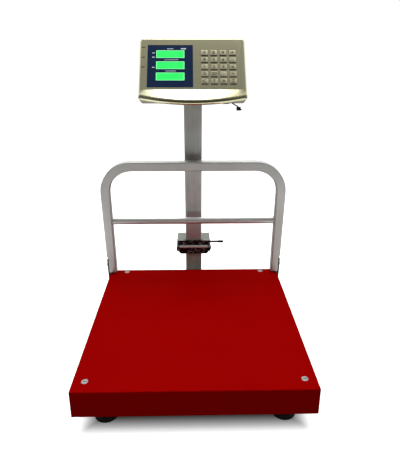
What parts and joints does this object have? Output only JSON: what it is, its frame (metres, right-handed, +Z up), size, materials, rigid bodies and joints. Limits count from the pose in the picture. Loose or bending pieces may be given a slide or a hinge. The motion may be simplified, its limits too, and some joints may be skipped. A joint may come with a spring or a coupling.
{
  "type": "folding platform scale",
  "caption": "Square platform scale with a red pan, a bent tube guard rail and a column that both fold forward, and a tilting slanted indicator with raised keys.",
  "frame": {"origin": "centre of the bounding box in plan, on the floor under the feet", "axes": "+Z up, -Y towards the user in front of the pan, +X to the user's right"},
  "size_m": [0.4136, 0.4774, 0.6046],
  "materials": {
    "red_enamel": "smooth red enamel",
    "grey_enamel": "silver-grey enamel",
    "zinc_plate": "zinc plated",
    "dark_steel": "dark painted",
    "brushed_stainless": "brushed",
    "cell_aluminium": "machined",
    "rubber": "matt",
    "blue_panel": "semi-gloss overlay",
    "green_lcd": "backlit",
    "circuit_board": "solder mask",
    "black_plastic": "moulded",
    "key_silver": "silver coated"
  },
  "bodies": {
    "base": {"base_frame": "dark_steel", "load_cell": "cell_aluminium", "deck_frame": "dark_steel", "pan": "red_enamel", "pan_screw_front_left": "zinc_plate", "pan_screw_front_right": "zinc_plate", "pan_screw_rear_left": "zinc_plate", "pan_screw_rear_right": "zinc_plate", "rail_bracket_left": "dark_steel", "rail_bracket_right": "dark_steel", "rail_bolt_left": "zinc_plate", "rail_bolt_right": "zinc_plate", "column_mount": "dark_steel", "column_stub": "grey_enamel", "hinge_lower_flange": "zinc_plate", "hinge_pin": "zinc_plate", "latch_pin": "zinc_plate", "latch_spring": "zinc_plate"},
    "foot_front_left": {"foot_front_left": "rubber"},
    "foot_front_right": {"foot_front_right": "rubber"},
    "foot_rear_left": {"foot_rear_left": "rubber"},
    "foot_rear_right": {"foot_rear_right": "rubber"},
    "rail": {"rail_tube": "grey_enamel", "rail_crossbar": "grey_enamel"},
    "column": {"hinge_upper_flange": "zinc_plate", "column_tube": "grey_enamel", "tilt_bracket": "grey_enamel", "tilt_bolt": "black_plastic"},
    "latch": {"latch_hook": "zinc_plate", "latch_rod": "zinc_plate"},
    "indicator": {"indicator_case": "brushed_stainless", "display_panel": "blue_panel", "display_module": "green_lcd", "main_board": "circuit_board", "back_cover": "brushed_stainless", "battery": "black_plastic", "charging_socket": "black_plastic", "socket_plug": "rubber"},
    "key_row1_col1": {"key_row1_col1": "key_silver"},
    "key_row1_col2": {"key_row1_col2": "key_silver"},
    "key_row1_col3": {"key_row1_col3": "key_silver"},
    "key_row1_col4": {"key_row1_col4": "key_silver"},
    "key_row2_col1": {"key_row2_col1": "key_silver"},
    "key_row2_col2": {"key_row2_col2": "key_silver"},
    "key_row2_col3": {"key_row2_col3": "key_silver"},
    "key_row2_col4": {"key_row2_col4": "key_silver"},
    "key_row3_col1": {"key_row3_col1": "key_silver"},
    "key_row3_col2": {"key_row3_col2": "key_silver"},
    "key_row3_col3": {"key_row3_col3": "key_silver"},
    "key_row3_col4": {"key_row3_col4": "key_silver"},
    "key_row4_col1": {"key_row4_col1": "key_silver"},
    "key_row4_col2": {"key_row4_col2": "key_silver"},
    "key_row4_col3": {"key_row4_col3": "key_silver"},
    "key_row4_col4": {"key_row4_col4": "key_silver"},
    "key_row5_col1": {"key_row5_col1": "key_silver"},
    "key_row5_col2": {"key_row5_col2": "key_silver"},
    "key_row5_col3": {"key_row5_col3": "key_silver"},
    "key_row5_col4": {"key_row5_col4": "key_silver"},
    "rocker": {"power_rocker": "black_plastic"}
  },
  "joints": [
    {"name": "foot_front_left_level", "type": "slide", "parent": "base", "child": "foot_front_left", "axis": [0, 0, 1], "range_m": [-0.008, 0.006]},
    {"name": "foot_front_right_level", "type": "slide", "parent": "base", "child": "foot_front_right", "axis": [0, 0, 1], "range_m": [-0.008, 0.006]},
    {"name": "foot_rear_left_level", "type": "slide", "parent": "base", "child": "foot_rear_left", "axis": [0, 0, 1], "range_m": [-0.008, 0.006]},
    {"name": "foot_rear_right_level", "type": "slide", "parent": "base", "child": "foot_rear_right", "axis": [0, 0, 1], "range_m": [-0.008, 0.006]},
    {"name": "rail_fold", "type": "hinge", "parent": "base", "child": "rail", "pos_m": [0, 0.15242, 0.1175], "axis": [1, 0, 0], "range_deg": [0, 88]},
    {"name": "column_fold", "type": "hinge", "parent": "base", "child": "column", "pos_m": [0, 0.17132, 0.1534], "axis": [1, 0, 0], "range_deg": [0, 85]},
    {"name": "latch_release", "type": "hinge", "parent": "base", "child": "latch", "pos_m": [0.029, 0.19382, 0.1412], "axis": [1, 0, 0], "range_deg": [0, 25], "stiffness_Nm_per_rad": 0.15, "springref_deg": -22.92},
    {"name": "indicator_tilt", "type": "hinge", "parent": "column", "child": "indicator", "pos_m": [0, 0.19579, 0.51107], "axis": [1, 0, 0], "range_deg": [-15, 15]},
    {"name": "key_row1_col1_press", "type": "slide", "parent": "indicator", "child": "key_row1_col1", "axis": [0, 0.7513, -0.66], "range_m": [0, 0.0012], "stiffness_N_per_m": 300, "springref_m": -0.0005},
    {"name": "key_row1_col2_press", "type": "slide", "parent": "indicator", "child": "key_row1_col2", "axis": [0, 0.7513, -0.66], "range_m": [0, 0.0012], "stiffness_N_per_m": 300, "springref_m": -0.0005},
    {"name": "key_row1_col3_press", "type": "slide", "parent": "indicator", "child": "key_row1_col3", "axis": [0, 0.7513, -0.66], "range_m": [0, 0.0012], "stiffness_N_per_m": 300, "springref_m": -0.0005},
    {"name": "key_row1_col4_press", "type": "slide", "parent": "indicator", "child": "key_row1_col4", "axis": [0, 0.7513, -0.66], "range_m": [0, 0.0012], "stiffness_N_per_m": 300, "springref_m": -0.0005},
    {"name": "key_row2_col1_press", "type": "slide", "parent": "indicator", "child": "key_row2_col1", "axis": [0, 0.7513, -0.66], "range_m": [0, 0.0012], "stiffness_N_per_m": 300, "springref_m": -0.0005},
    {"name": "key_row2_col2_press", "type": "slide", "parent": "indicator", "child": "key_row2_col2", "axis": [0, 0.7513, -0.66], "range_m": [0, 0.0012], "stiffness_N_per_m": 300, "springref_m": -0.0005},
    {"name": "key_row2_col3_press", "type": "slide", "parent": "indicator", "child": "key_row2_col3", "axis": [0, 0.7513, -0.66], "range_m": [0, 0.0012], "stiffness_N_per_m": 300, "springref_m": -0.0005},
    {"name": "key_row2_col4_press", "type": "slide", "parent": "indicator", "child": "key_row2_col4", "axis": [0, 0.7513, -0.66], "range_m": [0, 0.0012], "stiffness_N_per_m": 300, "springref_m": -0.0005},
    {"name": "key_row3_col1_press", "type": "slide", "parent": "indicator", "child": "key_row3_col1", "axis": [0, 0.7513, -0.66], "range_m": [0, 0.0012], "stiffness_N_per_m": 300, "springref_m": -0.0005},
    {"name": "key_row3_col2_press", "type": "slide", "parent": "indicator", "child": "key_row3_col2", "axis": [0, 0.7513, -0.66], "range_m": [0, 0.0012], "stiffness_N_per_m": 300, "springref_m": -0.0005},
    {"name": "key_row3_col3_press", "type": "slide", "parent": "indicator", "child": "key_row3_col3", "axis": [0, 0.7513, -0.66], "range_m": [0, 0.0012], "stiffness_N_per_m": 300, "springref_m": -0.0005},
    {"name": "key_row3_col4_press", "type": "slide", "parent": "indicator", "child": "key_row3_col4", "axis": [0, 0.7513, -0.66], "range_m": [0, 0.0012], "stiffness_N_per_m": 300, "springref_m": -0.0005},
    {"name": "key_row4_col1_press", "type": "slide", "parent": "indicator", "child": "key_row4_col1", "axis": [0, 0.7513, -0.66], "range_m": [0, 0.0012], "stiffness_N_per_m": 300, "springref_m": -0.0005},
    {"name": "key_row4_col2_press", "type": "slide", "parent": "indicator", "child": "key_row4_col2", "axis": [0, 0.7513, -0.66], "range_m": [0, 0.0012], "stiffness_N_per_m": 300, "springref_m": -0.0005},
    {"name": "key_row4_col3_press", "type": "slide", "parent": "indicator", "child": "key_row4_col3", "axis": [0, 0.7513, -0.66], "range_m": [0, 0.0012], "stiffness_N_per_m": 300, "springref_m": -0.0005},
    {"name": "key_row4_col4_press", "type": "slide", "parent": "indicator", "child": "key_row4_col4", "axis": [0, 0.7513, -0.66], "range_m": [0, 0.0012], "stiffness_N_per_m": 300, "springref_m": -0.0005},
    {"name": "key_row5_col1_press", "type": "slide", "parent": "indicator", "child": "key_row5_col1", "axis": [0, 0.7513, -0.66], "range_m": [0, 0.0012], "stiffness_N_per_m": 300, "springref_m": -0.0005},
    {"name": "key_row5_col2_press", "type": "slide", "parent": "indicator", "child": "key_row5_col2", "axis": [0, 0.7513, -0.66], "range_m": [0, 0.0012], "stiffness_N_per_m": 300, "springref_m": -0.0005},
    {"name": "key_row5_col3_press", "type": "slide", "parent": "indicator", "child": "key_row5_col3", "axis": [0, 0.7513, -0.66], "range_m": [0, 0.0012], "stiffness_N_per_m": 300, "springref_m": -0.0005},
    {"name": "key_row5_col4_press", "type": "slide", "parent": "indicator", "child": "key_row5_col4", "axis": [0, 0.7513, -0.66], "range_m": [0, 0.0012], "stiffness_N_per_m": 300, "springref_m": -0.0005},
    {"name": "rocker_flip", "type": "hinge", "parent": "indicator", "child": "rocker", "pos_m": [0.07, 0.17687, 0.50733], "axis": [-1, 0, 0], "range_deg": [0, 14]}
  ],
  "couplings": [
    {"joint": "rail_fold", "follows": "column_fold", "ratio": 1.0352}
  ]
}
